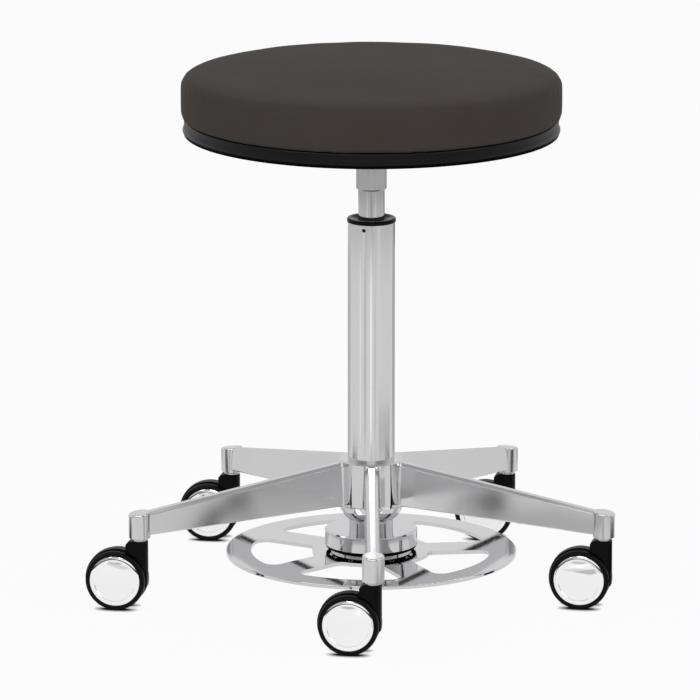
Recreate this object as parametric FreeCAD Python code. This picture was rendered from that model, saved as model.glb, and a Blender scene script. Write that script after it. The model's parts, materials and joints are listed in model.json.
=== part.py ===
import FreeCAD, Part
import math
import os
from FreeCAD import Vector

# Round swivel stool on five castors. A gas spring carries the seat, and a foot ring under the
# base frees it from any side. Millimetres, +Z up, origin on the floor under the column.
# The arm at -90 degrees is the front one.

# Fits
press_gap = 0.02        # pieces driven, screwed or glued together
run_gap = 0.05          # shafts that turn or slide in their bores
free_gap = 0.3          # pieces that pass each other
overcut = 1.0           # holes cut past the faces they open

# Castors
wheel_radius = 31.8
wheel_width = 10.6
wheel_side_gap = 0.5    # wheel to hood web
web_half = 4.0          # half the web between the twin wheels
castor_trail = 24.5     # stem axis to axle
castor_height = 77.5    # floor to the seat of the socket
axle_radius = 3.0
wheel_hub_radius = 9.0
wheel_disc = 3.5
wheel_hub_proud = 2.0   # hub beyond the disc
wheel_lip = 1.0         # ledge under the cap
rim_depth = 5.9         # tread to the cap recess
tread_round = 3.6
cap_radius = 27.0
cap_wall = 1.4
cap_groove_radius = 21.5
cap_inset = 0.6         # cap rim inside the wheel face
cap_bead = 1.1          # raised border of the cap
cap_dome = 1.0          # dome above the border
cap_groove = 0.5        # between border and dome
cap_gate = 1.0          # flat at the middle of the dome
hood_radius = 33.4
hood_half_width = 5.6
hood_edge = 1.0
hood_from = -12.0       # hood arch, degrees about the axle
hood_to = 204.0
tower_half = 9.0
tower_back = 13.7       # tower reach towards the wheels
spindle_radius = 4.0
spindle_length = 17.0
stem_radius = 5.4
stem_length = 21.0
stem_flange_radius = 8.5
stem_flange = 3.0
grip_ring_height = 5.0
grip_ring_wall = 0.9
castor_headings = {"front": 8.0, "right": 10.0, "rear_right": 9.0, "rear_left": 9.0, "left": 10.0}

# Star base
arm_angles = {"front": -89.7, "right": -17.7, "rear_right": 54.3, "rear_left": 126.3, "left": 198.3}
arm_reach = 257.6       # column axis to castor stem
socket_length = 27.0
socket_radius = 11.6
socket_edge = 2.0
socket_slope = 0.135    # fall of the socket top along the arm
hub_bottom = 79.0
hub_height = 65.0
hub_radius = 34.7
hub_foot_radius = 25.4
hub_foot_height = 19.0
hub_edge = 1.5
hub_blend = 3.0         # casting radius between hub and arms
arm_width = 14.8        # across the foot at the socket
arm_eaves = 12.6        # across the top of the upright sides at the socket
arm_crest = 6.0         # flat along the top of the arm
arm_gable = 3.2         # crest above the eaves
arm_root_growth = 2.0   # extra width where the arm meets the hub
arm_inside = 2.5        # arm start inside the hub face
arm_beyond = 5.0        # arm end past the castor stem
arm_root_top = 1.8      # crest below the hub top
arm_root_bottom = 16.0  # above the hub bottom
arm_tip_top = 0.8       # crest below the socket top where it runs out
arm_tip_bottom = 2.0    # above the socket bottom
arm_edge = 1.2
arm_wall = 3.0
arm_roof = 5.5
arm_ribs = 2            # cross ribs in the hollow of an arm
arm_rib = 2.5

# Column
tube_radius = 25.0
tube_wall = 2.0
tube_bottom = 56.0
tube_length = 345.5
tube_floor = 4.0
tube_edge = 0.6
cone_length = 88.0
cone_taper = 0.0251     # radius lost per millimetre of cone
bush_length = 70.0
bush_flange_radius = 25.9
bush_flange = 4.0
bush_dish = 2.4
pip_radius = 2.0
pip_below_top = 5.7
pip_angle = -108.7

# Gas spring
cylinder_radius = 14.0
cylinder_wall = 1.5
cylinder_show = 30.5    # bare cylinder between bush and seat socket at rest
cylinder_cone = 58.0
lift_down = 27.0
lift_up = 200.0
guide_length = 25.0
piston_length = 15.0
rod_radius = 5.0
rod_tail_radius = 4.0
pin_radius = 2.0
pin_length = 70.0
rod_tail_below = 4.0    # rod tail under the tube floor
clip_thickness = 1.2
clip_radius = 7.5
clip_groove = 0.8
clip_mouth = 2.56       # half the open side of the clip
race_thickness = 2.0
race_radius = 11.0
ball_radius = 2.0
ball_count = 10
cage_thickness = 1.6
cage_margin = 0.6
bump_height = 20.0
bump_radius = 10.5
bump_waist = 8.4

# Foot ring and its collar
collar_radius = 49.4
collar_height = 17.5
collar_drop = 6.5       # collar bottom under the tube bottom
collar_edge = 1.2
grub_radius = 3.0
grub_length = 12.0
grub_angles = (60.0, 120.0)
ring_gap = 6.0          # collar to plate
ring_radius = 155.0
ring_thickness = 4.0
ring_edge = 1.0
rim_width = 26.5
ring_hub_radius = 63.0
spoke_count = 5
spoke_width = 36.0
ring_turn = 6.2         # first spoke, degrees
window_inner_corner = 7.0
window_outer_corner = 12.0
boss_radius = 43.5
boss_height = 2.4
rubber_inner = 44.7
rubber_width = 3.5
rubber_height = 2.5
hanger_count = 5
hanger_first = 18.0
hanger_circle = 36.0
shoulder_radius = 3.0
shoulder_play = 0.6
hanger_head_radius = 6.0
hanger_head = 4.0
thread_radius = 2.5
thread_length = 11.0
button_radius = 6.0
button_stem_radius = 3.0
button_rise = 1.8

# Seat
socket_tube_radius = 16.1
socket_tube_length = 63.0
plate_side = 150.0
plate_thickness = 3.0
plate_corner = 12.0
plate_hole_offset = 58.0
bolt_radius = 3.0
bolt_head_radius = 6.0
bolt_head = 3.6
bolt_length = 12.0
nut_radius = 4.0
nut_flange_radius = 9.5
nut_flange = 1.3
nut_length = 9.0
board_thickness = 10.5
trim_setback = 1.4      # trim inside the widest line of the cushion
trim_wall = 8.0
trim_lip = 12.0
trim_lip_thickness = 5.2
trim_edge = 2.0
cushion_radius = 200.3
cushion_height = 53.1
cushion_corner = 13.0
cushion_side = 13.0     # base to the widest line
cushion_draw_in = 2.6
crown_slope = 4.0       # degrees at the rim of the crown
cover_thickness = 1.2
cover_hem = 40.0
socket_tube_edge = 1.4

# Levels and radii worked out from the sizes above
trim_radius = cushion_radius - trim_setback
socket_bottom = castor_height
socket_top = socket_bottom + socket_length
hub_top = hub_bottom + hub_height
tube_top = tube_bottom + tube_length
cone_top = tube_bottom + cone_length
bush_top = tube_top + bush_flange
socket_tube_bottom = bush_top + cylinder_show
plate_bottom = socket_tube_bottom + socket_tube_length
board_bottom = plate_bottom + plate_thickness
cushion_base = board_bottom + board_thickness
floor_top = tube_bottom + tube_floor
ball_level = floor_top + race_thickness + run_gap + ball_radius
upper_race_bottom = ball_level + ball_radius + run_gap
rod_shoulder = upper_race_bottom + race_thickness
cylinder_bottom = rod_shoulder + bump_height + free_gap + lift_down
piston_bottom = cylinder_bottom + guide_length + lift_up + free_gap
piston_top = piston_bottom + piston_length
rod_end = tube_bottom - rod_tail_below
collar_bottom = tube_bottom - collar_drop
plate_top = collar_bottom - ring_gap
ring_bottom = plate_top - ring_thickness
boss_top = plate_top + boss_height
pin_bottom = boss_top + button_rise + free_gap
axle_level = wheel_radius

Z = Vector(0, 0, 1)
Y = Vector(0, 1, 0)
ORIGIN = Vector(0, 0, 0)


def cylinder(radius, low, high, x=0.0, y=0.0):
    return Part.makeCylinder(radius, high - low, Vector(x, y, low))


def ring(inner, outer, low, high):
    return cylinder(outer, low, high).cut(cylinder(inner, low - overcut, high + overcut))


def polar(radius, degrees, z=0.0):
    angle = math.radians(degrees)
    return Vector(radius * math.cos(angle), radius * math.sin(angle), z)


def outline(steps):
    """Closed wire in the XZ plane: (x, z) draws a line, (x, z, mid_x, mid_z) an arc."""
    points = [Vector(step[0], 0, step[1]) for step in steps]
    edges = []
    for number, step in enumerate(steps):
        start = points[number - 1]
        end = points[number]
        if len(step) == 4:
            edges.append(Part.Arc(start, Vector(step[2], 0, step[3]), end).toShape())
        elif (end - start).Length > 1e-6:
            edges.append(Part.LineSegment(start, end).toShape())
    return Part.Wire(Part.__sortEdges__(edges))


def turned(steps):
    return Part.Face(outline(steps)).revolve(ORIGIN, Z, 360)


def dome_middle(radius, low, top):
    """Point halfway along the arc that rises from (radius, low) to the axis at top."""
    rise = top - low
    ball = (radius ** 2 + rise ** 2) / (2 * rise)
    half = math.asin(radius / ball) / 2
    return ball * math.sin(half), top - ball + ball * math.cos(half)


def bowl_middle(foot, low, brim, high):
    """Point halfway along the arc that leaves (foot, low) and ends upright at (brim, high)."""
    rise = high - low
    reach = brim - foot
    ball = (reach ** 2 + rise ** 2) / (2 * reach)
    half = math.asin(rise / ball) / 2
    return brim - ball + ball * math.cos(half), high - ball * math.sin(half)


def section(radius, low, high, foot, eaves):
    """Arm section across the X axis: upright sides, sloping shoulders and a flat crest."""
    shoulder = high - arm_gable
    crest = eaves * arm_crest / arm_eaves
    right = [(foot, low), (eaves, shoulder), (crest, high)]
    corners = right + [(-y, z) for y, z in reversed(right)]
    return Part.makePolygon([Vector(radius, y, z) for y, z in corners + corners[:1]])


def rims(shape, level):
    """Flat edges of a shape at one height."""
    return [edge for edge in shape.Edges
            if edge.BoundBox.ZLength < 0.01 and abs(edge.BoundBox.ZMin - level) < 0.01]


def save(name, shape):
    shape.exportStep(os.path.join("parts", name + ".step"))


# Seat: cushion, board, trim and what fastens them to the column

def cushion_body(inset):
    """Crowned cushion with drawn-in sides, its skin moved inwards by inset."""
    slope = math.radians(crown_slope)
    corner = cushion_corner - inset
    centre_r = cushion_radius - cushion_corner
    rim_r = centre_r + cushion_corner * math.sin(slope)
    crown = rim_r / math.sin(slope)
    top = cushion_base + cushion_height
    crown_rise = crown * (1 - math.cos(slope))
    centre_z = top - crown_rise - cushion_corner * math.cos(slope)
    widest = cushion_base + cushion_side
    side = (cushion_side ** 2 + cushion_draw_in ** 2) / (2 * cushion_draw_in)
    base_z = cushion_base + inset
    side_r = cushion_radius - side

    def on_side(z):
        return side_r + math.sqrt((side - inset) ** 2 - (widest - z) ** 2)

    def on_corner(angle):
        return centre_r + corner * math.sin(angle), centre_z + corner * math.cos(angle)

    def on_crown(angle):
        reach = crown - inset
        return reach * math.sin(angle), top - crown + reach * math.cos(angle)

    middle_z = (base_z + widest) / 2
    return turned([
        (0, base_z),
        (on_side(base_z), base_z),
        (cushion_radius - inset, widest, on_side(middle_z), middle_z),
        (cushion_radius - inset, centre_z),
        on_corner(slope) + on_corner((slope + math.pi / 2) / 2),
        on_crown(0) + on_crown(slope / 2),
    ])


def bolt_places():
    return [(x, y) for x in (-plate_hole_offset, plate_hole_offset)
            for y in (-plate_hole_offset, plate_hole_offset)]


def build_seat():
    hem_radius = trim_radius - cover_hem
    hem_top = cushion_base + cover_thickness
    hem_hole = cylinder(hem_radius, cushion_base - overcut, hem_top + overcut)
    save("upholstery_cover", cushion_body(0).cut(cushion_body(cover_thickness)).cut(hem_hole))
    foam_plug = cylinder(hem_radius - run_gap, cushion_base, hem_top + overcut)
    save("foam_pad", cushion_body(cover_thickness + run_gap).fuse(foam_plug).removeSplitter())

    board = cylinder(trim_radius - trim_wall - free_gap, board_bottom, cushion_base)
    nut_top = cushion_base
    nut_seat = nut_top - nut_flange
    for x, y in bolt_places():
        board = board.cut(cylinder(nut_radius + press_gap, board_bottom - overcut, nut_top + overcut, x, y))
        board = board.cut(cylinder(nut_flange_radius + run_gap, nut_seat, nut_top + overcut, x, y))
    save("seat_board", board)

    lip_bottom = board_bottom - trim_lip_thickness
    wall_inner = trim_radius - trim_wall
    round_mid = trim_edge * (1 - math.sqrt(0.5))
    save("edge_trim", turned([
        (wall_inner - trim_lip, lip_bottom),
        (trim_radius - trim_edge, lip_bottom),
        (trim_radius, lip_bottom + trim_edge, trim_radius - round_mid, lip_bottom + round_mid),
        (trim_radius, cushion_base - trim_edge),
        (trim_radius - trim_edge, cushion_base, trim_radius - round_mid, cushion_base - round_mid),
        (wall_inner, cushion_base),
        (wall_inner, board_bottom),
        (wall_inner - trim_lip, board_bottom),
    ]))

    half = plate_side / 2
    plate = Part.makeBox(plate_side, plate_side, plate_thickness, Vector(-half, -half, plate_bottom))
    upright = [edge for edge in plate.Edges if edge.BoundBox.ZLength > plate_thickness / 2]
    plate = plate.makeFillet(plate_corner, upright)
    bolts = []
    nuts = []
    for x, y in bolt_places():
        plate = plate.cut(cylinder(bolt_radius + free_gap, plate_bottom - overcut,
                                   board_bottom + overcut, x, y))
        head = cylinder(bolt_head_radius, plate_bottom - bolt_head, plate_bottom, x, y)
        bolts.append(head.fuse(cylinder(bolt_radius, plate_bottom, plate_bottom + bolt_length, x, y))
                     .removeSplitter())
        nut = cylinder(nut_radius, nut_top - nut_length, nut_seat, x, y)
        nut = nut.fuse(cylinder(nut_flange_radius, nut_seat, nut_top, x, y)).removeSplitter()
        nuts.append(nut.cut(cylinder(bolt_radius + press_gap, board_bottom, nut_top + overcut, x, y)))
    save("seat_plate", plate)
    save("seat_screws", Part.makeCompound(bolts))
    save("tee_nuts", Part.makeCompound(nuts))

    tube = cylinder(socket_tube_radius, socket_tube_bottom, plate_bottom)
    tube = tube.makeChamfer(socket_tube_edge, rims(tube, socket_tube_bottom))
    save("seat_socket", tube.cut(cylinder_body(press_gap)))


# Gas spring

def cylinder_body(grow):
    """Outer form of the pressure cylinder: straight below, tapered where the seat socket grips it."""
    taper_start = socket_tube_bottom + cylinder_radius / 4
    top = taper_start + cylinder_cone
    top_radius = cylinder_radius - cylinder_cone * cone_taper
    return turned([
        (0, cylinder_bottom),
        (cylinder_radius + grow, cylinder_bottom),
        (cylinder_radius + grow, taper_start),
        (top_radius + grow, top),
        (top_radius + grow, plate_bottom if grow else top),
        (0, plate_bottom if grow else top),
    ])


def build_gas_spring():
    inner = cylinder_radius - cylinder_wall
    chamber = cylinder(inner, cylinder_bottom - overcut, socket_tube_bottom)
    save("gas_cylinder", cylinder_body(0).cut(chamber))
    guide_top = cylinder_bottom + guide_length
    save("rod_guide", ring(rod_radius + run_gap, inner - press_gap, cylinder_bottom, guide_top))
    save("piston", ring(rod_tail_radius + press_gap, inner - run_gap, piston_bottom, piston_top))

    groove_top = tube_bottom - free_gap
    groove_bottom = groove_top - clip_thickness
    rod = cylinder(rod_tail_radius, rod_end, rod_shoulder)
    rod = rod.fuse(cylinder(rod_radius, rod_shoulder, piston_bottom))
    rod = rod.fuse(cylinder(rod_tail_radius, piston_bottom, piston_top)).removeSplitter()
    pin_top = pin_bottom + pin_length
    rod = rod.cut(cylinder(pin_radius + run_gap, rod_end - overcut, pin_top + rod_radius))
    groove_radius = rod_tail_radius - clip_groove
    rod = rod.cut(ring(groove_radius, rod_radius, groove_bottom, groove_top))
    save("piston_rod", rod)
    save("release_pin", cylinder(pin_radius, pin_bottom, pin_top))

    clip = ring(groove_radius + press_gap, clip_radius, groove_bottom + press_gap, groove_top - press_gap)
    mouth = Part.makeBox(clip_radius, 2 * clip_mouth, clip_thickness * 2,
                         Vector(0, -clip_mouth, groove_bottom))
    save("rod_clip", clip.cut(mouth))
    save("bump_stop", turned([
        (rod_radius + run_gap, rod_shoulder),
        (bump_radius, rod_shoulder),
        (bump_waist, rod_shoulder + bump_height / 2),
        (bump_radius, rod_shoulder + bump_height),
        (rod_radius + run_gap, rod_shoulder + bump_height),
    ]))


def build_bearing():
    lower_top = floor_top + race_thickness
    save("bearing_lower_race", ring(rod_tail_radius + free_gap, race_radius, floor_top, lower_top))
    bore = rod_tail_radius + press_gap
    save("bearing_upper_race", ring(bore, race_radius, upper_race_bottom, rod_shoulder))
    ball_circle = (rod_tail_radius + race_radius) / 2
    inner = ball_circle - ball_radius - cage_margin
    outer = ball_circle + ball_radius + cage_margin
    half = cage_thickness / 2
    cage = ring(inner, outer, ball_level - half, ball_level + half)
    balls = []
    for number in range(ball_count):
        place = polar(ball_circle, number * 360 / ball_count, ball_level)
        balls.append(Part.makeSphere(ball_radius, place))
        cage = cage.cut(cylinder(ball_radius + run_gap, ball_level - half - overcut,
                                 ball_level + half + overcut, place.x, place.y))
    save("bearing_cage", cage)
    save("bearing_balls", Part.makeCompound(balls))


# Column

def tube_outer(grow):
    """Outer form of the stand tube, straight above and tapered where the base and collar grip it."""
    foot = tube_radius - cone_length * cone_taper
    return turned([
        (0, tube_bottom),
        (foot + grow, tube_bottom),
        (tube_radius + grow, cone_top),
        (tube_radius + grow, tube_top),
        (0, tube_top),
    ])


def pip(radius):
    """Snap pip of the bush, lying along a radius near the top of the tube."""
    start = polar(tube_radius - 2 * tube_wall, pip_angle, tube_top - pip_below_top)
    return Part.makeCylinder(radius, 2 * tube_wall - press_gap, start, polar(1, pip_angle))


def build_column():
    foot = tube_radius - cone_length * cone_taper
    bore = turned([
        (0, floor_top),
        (foot + tube_floor * cone_taper - tube_wall, floor_top),
        (tube_radius - tube_wall, cone_top),
        (tube_radius - tube_wall, tube_top + overcut),
        (0, tube_top + overcut),
    ])
    tail_hole = cylinder(rod_tail_radius + free_gap, tube_bottom - overcut, floor_top + overcut)
    pip_hole = pip(pip_radius + press_gap)
    pip_hole.translate(polar(overcut, pip_angle))
    tube = tube_outer(0)
    tube = tube.makeChamfer(tube_edge, rims(tube, tube_top))
    save("stand_tube", tube.cut(bore).cut(tail_hole).cut(pip_hole))

    bore_radius = cylinder_radius + run_gap
    bush = turned([
        (bore_radius, tube_top - bush_length),
        (tube_radius - tube_wall - press_gap, tube_top - bush_length),
        (tube_radius - tube_wall - press_gap, tube_top),
        (bush_flange_radius, tube_top),
        (bush_flange_radius, bush_top - bush_flange / 4),
        (bush_flange_radius - bush_flange / 4, bush_top),
        (bush_flange_radius - bush_flange, bush_top),
        (bore_radius, bush_top - bush_dish),
    ])
    save("guide_bush", bush.fuse(pip(pip_radius)).removeSplitter())


# Star base

def hub_joints(star):
    """Upright curved edges where the sides of the arms meet the hub."""
    found = []
    for edge in star.Edges:
        middle = edge.valueAt((edge.FirstParameter + edge.LastParameter) / 2)
        on_hub = math.hypot(middle.x, middle.y) < hub_radius + hub_edge
        upright = edge.BoundBox.ZLength > hub_height / 3
        if on_hub and upright and not isinstance(edge.Curve, Part.Line):
            found.append(edge)
    return found


def build_base():
    foot_top = hub_bottom + hub_foot_height
    star = turned([
        (0, hub_bottom),
        (hub_foot_radius, hub_bottom),
        (hub_radius, foot_top) + bowl_middle(hub_foot_radius, hub_bottom, hub_radius, foot_top),
        (hub_radius, hub_top - hub_edge),
        (hub_radius - hub_edge, hub_top),
        (0, hub_top),
    ])
    start = hub_radius - arm_inside
    end = arm_reach + arm_beyond
    root_low = hub_bottom + arm_root_bottom
    root_high = hub_top - arm_root_top
    tip_low = socket_bottom + arm_tip_bottom
    tip_high = socket_top - socket_slope * arm_beyond - arm_tip_top
    pocket_start = hub_radius + arm_wall
    pocket_end = arm_reach - socket_radius - arm_wall

    def along(radius, at_root, at_tip):
        share = (radius - start) / (end - start)
        return at_root + (at_tip - at_root) * share

    def profile(radius, floor_drop, roof_drop, inset):
        growth = along(radius, arm_root_growth, 0)
        return section(radius,
                       along(radius, root_low, tip_low) - floor_drop,
                       along(radius, root_high, tip_high) - roof_drop,
                       (arm_width + growth) / 2 - inset,
                       (arm_eaves + growth) / 2 - inset)

    arm = Part.makeLoft([profile(radius, 0, 0, 0) for radius in (start, end)], True, True)
    long_edges = [edge for edge in arm.Edges if edge.BoundBox.XLength > (end - start) / 2]
    arm = arm.makeFillet(arm_edge, long_edges)
    pocket_ends = [profile(radius, arm_edge, arm_roof, arm_wall) for radius in (pocket_start, pocket_end)]
    pocket = Part.makeLoft(pocket_ends, True, True)
    spacing = (pocket_end - pocket_start) / (arm_ribs + 1)
    for number in range(arm_ribs):
        middle = pocket_start + spacing * (number + 1)
        corner = Vector(middle, -arm_width / 2, 0)
        pocket = pocket.cut(Part.makeBox(arm_rib, arm_width, hub_top, corner))
    socket = cylinder(socket_radius, socket_bottom, socket_top + socket_radius, arm_reach)
    lid_side = 4 * socket_radius
    lid_corner = Vector(arm_reach - lid_side / 2, -lid_side / 2, socket_top)
    lid = Part.makeBox(lid_side, lid_side, lid_side, lid_corner)
    lid.rotate(Vector(arm_reach, 0, socket_top), Y, math.degrees(math.atan(socket_slope)))
    socket = socket.cut(lid)
    top_edge = [edge for edge in socket.Edges if edge.BoundBox.ZMin > socket_bottom + socket_length / 2]
    socket = socket.makeFillet(socket_edge, top_edge)
    spoke = arm.cut(pocket).fuse(socket)
    bore_top = socket_bottom + stem_length + overcut
    bore = cylinder(stem_radius + run_gap, socket_bottom - overcut, bore_top, arm_reach)
    spokes = []
    bores = []
    for angle in arm_angles.values():
        for source, kept in ((spoke, spokes), (bore, bores)):
            turned_copy = source.copy()
            turned_copy.rotate(ORIGIN, Z, angle)
            kept.append(turned_copy)
    star = star.fuse(spokes).removeSplitter()
    star = star.makeFillet(hub_blend, hub_joints(star))
    save("star_base", star.cut(Part.makeCompound(bores)).cut(tube_outer(press_gap)))


# Foot ring, its collar and hangers

def hanger_places():
    return [polar(hanger_circle, hanger_first + number * 360 / hanger_count)
            for number in range(hanger_count)]


def build_collar():
    top = collar_bottom + collar_height
    collar = cylinder(collar_radius, collar_bottom, top)
    collar = collar.makeChamfer(collar_edge, rims(collar, collar_bottom) + rims(collar, top))
    collar = collar.cut(tube_outer(press_gap))
    inner = tube_radius - cone_length * cone_taper
    collar = collar.cut(cylinder(inner, collar_bottom - overcut, tube_bottom + overcut))
    hangers = []
    for place in hanger_places():
        hole_top = collar_bottom + thread_length
        collar = collar.cut(cylinder(thread_radius + press_gap, collar_bottom - overcut, hole_top,
                                     place.x, place.y))
        thread_end = hole_top - overcut
        screw = cylinder(thread_radius, collar_bottom, thread_end, place.x, place.y)
        screw = screw.fuse(cylinder(shoulder_radius, ring_bottom, collar_bottom, place.x, place.y))
        head_bottom = ring_bottom - hanger_head
        screw = screw.fuse(cylinder(hanger_head_radius, head_bottom, ring_bottom, place.x, place.y))
        hangers.append(screw.removeSplitter())
    grub_level = (tube_bottom + top) / 2
    tube_face = tube_radius - (cone_top - grub_level - grub_radius) * cone_taper + press_gap
    grubs = []
    for angle in grub_angles:
        ray = polar(1, angle)
        grubs.append(Part.makeCylinder(grub_radius, grub_length, polar(tube_face, angle, grub_level), ray))
        hole = Part.makeCylinder(grub_radius + press_gap, collar_radius, polar(inner, angle, grub_level), ray)
        collar = collar.cut(hole)
    save("release_collar", collar)
    save("collar_grub_screws", Part.makeCompound(grubs))
    save("shoulder_screws", Part.makeCompound(hangers))
    outer = rubber_inner + rubber_width
    low = collar_bottom - rubber_height
    save("rubber_ring", turned([
        (rubber_inner, collar_bottom),
        (rubber_inner, low + rubber_width / 4),
        (outer, low + rubber_width / 4, (rubber_inner + outer) / 2, low),
        (outer, collar_bottom),
    ]))


def build_foot_ring():
    plate = cylinder(ring_radius, ring_bottom, plate_top)
    plate = plate.makeFillet(ring_edge, rims(plate, ring_bottom) + rims(plate, plate_top))
    rim_inner = ring_radius - rim_width
    windows = ring(ring_hub_radius, rim_inner, ring_bottom - overcut, plate_top + overcut)
    for number in range(spoke_count):
        spoke = Part.makeBox(ring_radius, spoke_width, ring_thickness * 3,
                             Vector(0, -spoke_width / 2, ring_bottom - ring_thickness))
        spoke.rotate(ORIGIN, Z, ring_turn + number * 360 / spoke_count)
        windows = windows.cut(spoke)
    middle = (ring_hub_radius + rim_inner) / 2
    for window in windows.Solids:
        for inside, corner in ((True, window_inner_corner), (False, window_outer_corner)):
            corners = []
            for edge in window.Edges:
                spot = edge.CenterOfMass
                upright = edge.BoundBox.ZLength > ring_thickness
                if upright and (math.hypot(spot.x, spot.y) < middle) == inside:
                    corners.append(edge)
            window = window.makeFillet(corner, corners)
        plate = plate.cut(window)
    boss = cylinder(boss_radius, plate_top, boss_top)
    plate = plate.fuse(boss.makeFillet(ring_edge, rims(boss, boss_top))).removeSplitter()
    for place in hanger_places():
        plate = plate.cut(cylinder(shoulder_radius + shoulder_play, ring_bottom - overcut,
                                   boss_top + overcut, place.x, place.y))
    plate = plate.cut(cylinder(button_stem_radius + press_gap, ring_bottom - overcut, boss_top + overcut))
    save("foot_ring", plate)

    dome_low = boss_top + button_rise / 3
    dome_top = boss_top + button_rise
    save("thrust_button", turned([
        (0, ring_bottom),
        (button_stem_radius, ring_bottom),
        (button_stem_radius, boss_top),
        (button_radius, boss_top),
        (button_radius, dome_low),
        (0, dome_top) + dome_middle(button_radius, dome_low, dome_top),
    ]))


# Castors, drawn with the stem on the Z axis and the wheels trailing towards -X

def about_axle(steps):
    """Turn a profile drawn as (distance from axle, distance from the middle) about the axle."""
    shape = turned(steps)
    shape.rotate(ORIGIN, Vector(1, 0, 0), -90)
    shape.translate(Vector(-castor_trail, 0, axle_level))
    return shape


def mirrored(shape):
    return shape.mirror(ORIGIN, Y)


def build_hood():
    inner = wheel_radius + free_gap + run_gap
    centre = Vector(-castor_trail, 0, axle_level)

    def spot(radius, degrees):
        angle = math.radians(degrees)
        return centre + Vector(radius * math.cos(angle), 0, radius * math.sin(angle))

    def slab(wire, half):
        wire.translate(Vector(0, -half, 0))
        return Part.Face(wire).extrude(Vector(0, 2 * half, 0))

    middle = (hood_from + hood_to) / 2
    outer_arc = Part.Arc(spot(hood_radius, hood_from), spot(hood_radius, middle), spot(hood_radius, hood_to))
    inner_arc = Part.Arc(spot(inner, hood_to), spot(inner, middle), spot(inner, hood_from))
    arch = Part.Wire([
        outer_arc.toShape(),
        Part.LineSegment(spot(hood_radius, hood_to), spot(inner, hood_to)).toShape(),
        inner_arc.toShape(),
        Part.LineSegment(spot(inner, hood_from), spot(hood_radius, hood_from)).toShape(),
    ])
    web = Part.Wire([
        outer_arc.toShape(),
        Part.LineSegment(spot(hood_radius, hood_to), centre).toShape(),
        Part.LineSegment(centre, spot(hood_radius, hood_from)).toShape(),
    ])
    top = castor_height - stem_flange - free_gap
    step = tower_back / 4
    tower = outline([
        (tower_half, axle_level),
        (tower_half, top),
        (step - tower_back, top),
        (-tower_back, top - step),
        (-tower_back, axle_level),
    ])
    plan = cylinder(tower_half, 0, castor_height)
    plan = plan.fuse(Part.makeBox(tower_back, 2 * tower_half, castor_height,
                                  Vector(-tower_back, -tower_half, 0)))
    hood = slab(tower, tower_half).common(plan).removeSplitter()
    hood = hood.makeFillet(hood_edge, rims(hood, top))
    boss = Part.makeCylinder(wheel_hub_radius, 2 * web_half, centre - Y * web_half, Y)
    shell = slab(arch, hood_half_width)
    lips = [edge for edge in shell.Edges
            if edge.BoundBox.YLength < 0.01 and edge.BoundBox.XLength > 2 * wheel_radius + hood_edge]
    shell = shell.makeFillet(hood_edge, lips)
    hood = hood.fuse([shell, slab(web, web_half), boss])
    for side in (-1, 1):
        start = centre + Y * (web_half * side)
        hood = hood.cut(Part.makeCylinder(inner, hood_half_width * 2, start, Y * side))
    hood = hood.cut(cylinder(spindle_radius + run_gap, top - spindle_length, castor_height))
    bore = Part.makeCylinder(axle_radius + press_gap, 4 * web_half, centre - Y * (2 * web_half), Y)
    return hood.cut(bore).removeSplitter()


def build_wheel():
    inner = web_half + wheel_side_gap
    outer = inner + wheel_width
    bore = axle_radius + run_gap
    recess = cap_radius + press_gap
    disc_high = outer - rim_depth + wheel_lip
    disc_low = disc_high - wheel_disc
    shoulder = wheel_radius - tread_round
    bend = tread_round * (1 - math.sqrt(0.5))
    lead = tread_round / 3
    lead_bend = lead * (1 - math.sqrt(0.5))
    return about_axle([
        (bore, inner),
        (wheel_hub_radius, inner),
        (wheel_hub_radius, disc_low),
        (recess - wheel_lip, disc_low),
        (recess - wheel_lip, inner),
        (wheel_radius - lead, inner),
        (wheel_radius, inner + lead, wheel_radius - lead_bend, inner + lead_bend),
        (wheel_radius, outer - tread_round),
        (shoulder, outer, wheel_radius - bend, outer - bend),
        (recess, outer),
        (recess, disc_high),
        (wheel_hub_radius, disc_high),
        (wheel_hub_radius, disc_high + wheel_hub_proud),
        (bore, disc_high + wheel_hub_proud),
    ])


def build_cap():
    face = web_half + wheel_side_gap + wheel_width
    seat = face - rim_depth + wheel_lip + press_gap
    rim = face - cap_inset
    ledge = rim + cap_bead
    crown = ledge + cap_dome
    groove = ledge - cap_groove
    skirt = cap_radius - cap_wall
    inside = cap_groove_radius - cap_wall
    ball = (cap_groove_radius ** 2 + (crown - groove) ** 2) / (2 * (crown - groove))
    gate = crown - ball + math.sqrt(ball ** 2 - cap_gate ** 2)
    half = (math.asin(cap_groove_radius / ball) + math.asin(cap_gate / ball)) / 2
    border = (cap_radius + cap_groove_radius) / 2
    return about_axle([
        (skirt, seat),
        (cap_radius, seat),
        (cap_radius, rim),
        (cap_groove_radius + cap_groove, ledge, border + cap_groove, ledge - cap_bead / 4),
        (cap_groove_radius, groove),
        (cap_gate, gate, ball * math.sin(half), crown - ball + ball * math.cos(half)),
        (0, gate),
        (0, crown - cap_wall),
        (inside, groove - cap_wall) + dome_middle(inside, groove - cap_wall, crown - cap_wall),
        (skirt, rim - cap_wall),
    ])


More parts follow.
